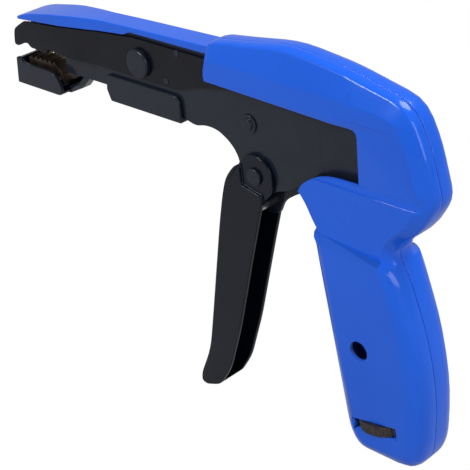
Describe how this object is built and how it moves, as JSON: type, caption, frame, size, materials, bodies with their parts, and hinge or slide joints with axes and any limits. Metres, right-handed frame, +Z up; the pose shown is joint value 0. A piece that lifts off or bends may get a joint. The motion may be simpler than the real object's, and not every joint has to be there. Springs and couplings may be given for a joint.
{
  "type": "cable tie tensioning tool",
  "caption": "Pistol-shaped hand tool that tensions a cable tie with a squeeze trigger and cuts its tail, with a thumbwheel that sets the tension.",
  "frame": {"origin": "bottom centre of the whole tool's box, at the trigger's toe", "axes": "+X from the nose to the heel of the handle, +Y to the tool's far side, +Z up"},
  "size_m": [0.1614, 0.0188, 0.1179],
  "materials": {
    "housing_blue": "gloss",
    "black_steel": "semi-gloss black",
    "trigger_black": "gloss black",
    "brown_steel": "heat-coloured steel",
    "wheel_black": "knurled, satin",
    "bright_steel": "bright zinc"
  },
  "bodies": {
    "housing": {"left_shell": "housing_blue", "right_shell": "housing_blue", "barrel_cover": "housing_blue", "left_barrel_plate": "black_steel", "right_barrel_plate": "black_steel", "left_frame_plate": "black_steel", "right_frame_plate": "black_steel", "nose_anvil": "black_steel", "barrel_rivet": "black_steel", "barrel_pins": "bright_steel", "frame_rivet": "black_steel", "guide_channel": "black_steel", "trigger_spring": "bright_steel", "lever_pin": "bright_steel", "tension_lever_pin": "bright_steel", "spring_bracket": "bright_steel", "tension_spring": "bright_steel", "housing_screws": "bright_steel"},
    "trigger": {"trigger": "trigger_black", "trigger_pin": "black_steel", "link_lower_pin": "bright_steel"},
    "drive_link": {"drive_link": "black_steel"},
    "drive_lever": {"drive_lever": "bright_steel", "link_upper_pin": "bright_steel"},
    "pull_bar": {"pull_bar": "brown_steel", "nose_tray": "black_steel", "pawl_pin": "bright_steel", "pawl_spring": "bright_steel"},
    "gripper": {"gripper_pawl": "brown_steel"},
    "cutter_blade": {"cutter_blade": "bright_steel"},
    "cutoff_lever": {"cutoff_lever": "bright_steel"},
    "tension_lever": {"tension_lever": "bright_steel"},
    "tension_rod": {"tension_rod": "bright_steel"},
    "thumbwheel": {"thumbwheel": "wheel_black"},
    "spring_nut": {"spring_nut": "bright_steel"}
  },
  "joints": [
    {"name": "trigger_squeeze", "type": "hinge", "parent": "housing", "child": "trigger", "pos_m": [0.0199, 0, 0.0787], "axis": [0, -1, 0], "range_deg": [0, 28], "stiffness_Nm_per_rad": 0.3, "springref_deg": -8.59},
    {"name": "link_turn", "type": "hinge", "parent": "trigger", "child": "drive_link", "pos_m": [0.0195, 0, 0.0688], "axis": [0, 1, 0], "range_deg": [0, 30]},
    {"name": "lever_turn", "type": "hinge", "parent": "housing", "child": "drive_lever", "pos_m": [0.049, 0, 0.0733], "axis": [0, 1, 0], "range_deg": [0, 22]},
    {"name": "pull", "type": "slide", "parent": "housing", "child": "pull_bar", "axis": [1, 0, 0], "range_m": [0, 0.0082]},
    {"name": "gripper_tilt", "type": "hinge", "parent": "pull_bar", "child": "gripper", "pos_m": [-0.063, 0, 0.0881], "axis": [0, -1, 0], "range_deg": [0, 6], "stiffness_Nm_per_rad": 0.02, "springref_deg": -2.86},
    {"name": "trip", "type": "hinge", "parent": "housing", "child": "tension_lever", "pos_m": [0.0615, 0, 0.0678], "axis": [0, 1, 0], "range_deg": [0, 2.8], "stiffness_Nm_per_rad": 5, "springref_deg": -1.15},
    {"name": "rod_lift", "type": "slide", "parent": "housing", "child": "tension_rod", "axis": [-0.1736, 0, 0.9848], "range_m": [0, 0.0005]},
    {"name": "cutoff_turn", "type": "hinge", "parent": "housing", "child": "cutoff_lever", "pos_m": [-0.0228, 0, 0.1023], "axis": [0, -1, 0], "range_deg": [0, 3.3]},
    {"name": "blade_drop", "type": "slide", "parent": "housing", "child": "cutter_blade", "axis": [0, 0, -1], "range_m": [0, 0.0028]},
    {"name": "wheel_turn", "type": "hinge", "parent": "housing", "child": "thumbwheel", "pos_m": [0.0617, 0, 0.0161], "axis": [-0.1736, 0, 0.9848], "range_deg": [0, 720]},
    {"name": "nut_travel", "type": "slide", "parent": "thumbwheel", "child": "spring_nut", "axis": [-0.1736, 0, 0.9848], "range_m": [0, 0.0025], "deforming": ["tension_spring"]}
  ],
  "couplings": [
    {"joint": "link_turn", "follows": "trigger_squeeze", "ratio": 0.9466},
    {"joint": "lever_turn", "follows": "trigger_squeeze", "ratio": 0.7602},
    {"joint": "pull", "follows": "trigger_squeeze", "m_per_rad": 0.016269},
    {"joint": "cutoff_turn", "follows": "trip", "ratio": 1.1},
    {"joint": "blade_drop", "follows": "trip", "m_per_rad": 0.055},
    {"joint": "rod_lift", "follows": "trip", "m_per_rad": 0.009},
    {"joint": "wheel_turn", "follows": "nut_travel", "rad_per_m": 5000}
  ]
}
